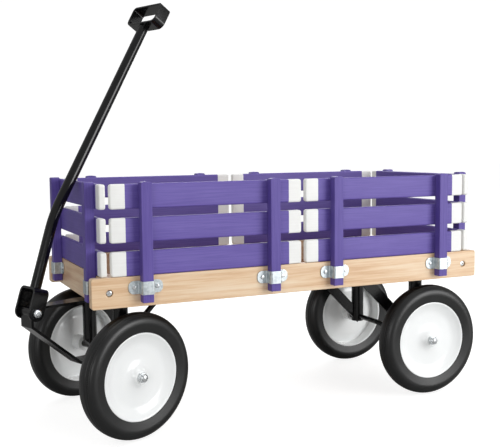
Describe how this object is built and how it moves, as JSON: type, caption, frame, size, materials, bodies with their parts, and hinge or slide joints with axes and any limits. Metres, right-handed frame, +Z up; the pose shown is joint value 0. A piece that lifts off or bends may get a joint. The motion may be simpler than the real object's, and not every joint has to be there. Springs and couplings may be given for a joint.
{
  "type": "pull wagon",
  "caption": "Wooden pull wagon with slatted lift-off racks, dished disc wheels, tie-rod steering and a bent tube handle with a loop grip.",
  "frame": {"origin": "middle of the footprint at rest, on the ground under the tyres", "axes": "+Z up, -Y towards the front of the wagon, +X towards its left side"},
  "size_m": [0.463, 1.0398, 0.8884],
  "materials": {
    "purple_paint": "satin purple paint on wood, off-white slat ends",
    "clear_coated_wood": "clear-coated light hardwood",
    "varnished_wood": "brown varnished wood panel",
    "zinc_plate": "bright zinc-plated steel",
    "black_rubber": "matt black solid rubber",
    "white_paint": "gloss white enamel on pressed steel",
    "black_paint": "gloss black powder coat on steel"
  },
  "bodies": {
    "bed": {"side_rail_left": "clear_coated_wood", "side_rail_right": "clear_coated_wood", "cross_rail_front": "clear_coated_wood", "cross_rail_rear": "clear_coated_wood", "deck_panel": "varnished_wood", "end_rack_front": "purple_paint", "bracket_left_1": "zinc_plate", "bracket_left_2": "zinc_plate", "bracket_left_3": "zinc_plate", "bracket_left_4": "zinc_plate", "bracket_right_1": "zinc_plate", "bracket_right_2": "zinc_plate", "bracket_right_3": "zinc_plate", "bracket_right_4": "zinc_plate", "bracket_front_left": "zinc_plate", "bracket_front_right": "zinc_plate", "bracket_rear_left": "zinc_plate", "bracket_rear_right": "zinc_plate", "front_undercarriage": "black_paint", "rear_undercarriage": "black_paint", "rear_axle": "black_paint", "hub_nut_rear_left": "zinc_plate", "hub_nut_rear_right": "zinc_plate"},
    "rack_left_front": {"slat_left_front_low": "purple_paint", "slat_left_front_mid": "purple_paint", "slat_left_front_top": "purple_paint", "post_left_front_1": "purple_paint", "post_left_front_2": "purple_paint"},
    "rack_left_rear": {"slat_left_rear_low": "purple_paint", "slat_left_rear_mid": "purple_paint", "slat_left_rear_top": "purple_paint", "post_left_rear_1": "purple_paint", "post_left_rear_2": "purple_paint"},
    "rack_right_front": {"slat_right_front_low": "purple_paint", "slat_right_front_mid": "purple_paint", "slat_right_front_top": "purple_paint", "post_right_front_1": "purple_paint", "post_right_front_2": "purple_paint"},
    "rack_right_rear": {"slat_right_rear_low": "purple_paint", "slat_right_rear_mid": "purple_paint", "slat_right_rear_top": "purple_paint", "post_right_rear_1": "purple_paint", "post_right_rear_2": "purple_paint"},
    "rack_rear": {"end_rack_rear": "purple_paint"},
    "yoke": {"steering_yoke": "black_paint", "handle_bolt": "zinc_plate"},
    "handle": {"pull_handle": "black_paint"},
    "tie_link": {"tie_bar": "black_paint"},
    "stub_left": {"knuckle_left": "black_paint", "hub_nut_front_left": "zinc_plate"},
    "stub_right": {"knuckle_right": "black_paint", "hub_nut_front_right": "zinc_plate"},
    "wheel_front_left": {"tyre_front_left": "black_rubber", "wheel_disc_front_left": "white_paint"},
    "wheel_front_right": {"tyre_front_right": "black_rubber", "wheel_disc_front_right": "white_paint"},
    "wheel_rear_left": {"tyre_rear_left": "black_rubber", "wheel_disc_rear_left": "white_paint"},
    "wheel_rear_right": {"tyre_rear_right": "black_rubber", "wheel_disc_rear_right": "white_paint"}
  },
  "joints": [
    {"name": "rack_left_front_lift", "type": "slide", "parent": "bed", "child": "rack_left_front", "axis": [0, 0, 1], "range_m": [0, 0.1]},
    {"name": "rack_left_rear_lift", "type": "slide", "parent": "bed", "child": "rack_left_rear", "axis": [0, 0, 1], "range_m": [0, 0.1]},
    {"name": "rack_right_front_lift", "type": "slide", "parent": "bed", "child": "rack_right_front", "axis": [0, 0, 1], "range_m": [0, 0.1]},
    {"name": "rack_right_rear_lift", "type": "slide", "parent": "bed", "child": "rack_right_rear", "axis": [0, 0, 1], "range_m": [0, 0.1]},
    {"name": "rack_rear_lift", "type": "slide", "parent": "bed", "child": "rack_rear", "axis": [0, 0, 1], "range_m": [0, 0.1]},
    {"name": "steer", "type": "hinge", "parent": "bed", "child": "yoke", "pos_m": [0, -0.32711, 0.2], "axis": [0, 0, 1], "range_deg": [-45, 5]},
    {"name": "handle_pivot", "type": "hinge", "parent": "yoke", "child": "handle", "pos_m": [0.06088, -0.49437, 0.253], "axis": [0.9397, 0.342, 0], "range_deg": [0, 130]},
    {"name": "tie_link_pivot", "type": "hinge", "parent": "yoke", "child": "tie_link", "pos_m": [-0.01539, -0.28482, 0.126], "axis": [0, 0, 1], "range_deg": [-5, 45]},
    {"name": "stub_left_pivot", "type": "hinge", "parent": "bed", "child": "stub_left", "pos_m": [0.127, -0.32711, 0.2], "axis": [0, 0, 1], "range_deg": [-45, 5]},
    {"name": "stub_right_pivot", "type": "hinge", "parent": "bed", "child": "stub_right", "pos_m": [-0.127, -0.32711, 0.2], "axis": [0, 0, 1], "range_deg": [-45, 5]},
    {"name": "wheel_front_left_spin", "type": "hinge", "parent": "stub_left", "child": "wheel_front_left", "pos_m": [0.17211, -0.31069, 0.127], "axis": [0.9397, 0.342, 0], "continuous": true},
    {"name": "wheel_rear_left_spin", "type": "hinge", "parent": "bed", "child": "wheel_rear_left", "pos_m": [0.175, 0.39289, 0.127], "axis": [1, 0, 0], "continuous": true},
    {"name": "wheel_front_right_spin", "type": "hinge", "parent": "stub_right", "child": "wheel_front_right", "pos_m": [-0.17211, -0.34352, 0.127], "axis": [0.9397, 0.342, 0], "continuous": true},
    {"name": "wheel_rear_right_spin", "type": "hinge", "parent": "bed", "child": "wheel_rear_right", "pos_m": [-0.175, 0.39289, 0.127], "axis": [1, 0, 0], "continuous": true}
  ],
  "couplings": [
    {"joint": "tie_link_pivot", "follows": "steer", "ratio": -1},
    {"joint": "stub_left_pivot", "follows": "steer", "ratio": 1},
    {"joint": "stub_right_pivot", "follows": "steer", "ratio": 1}
  ]
}
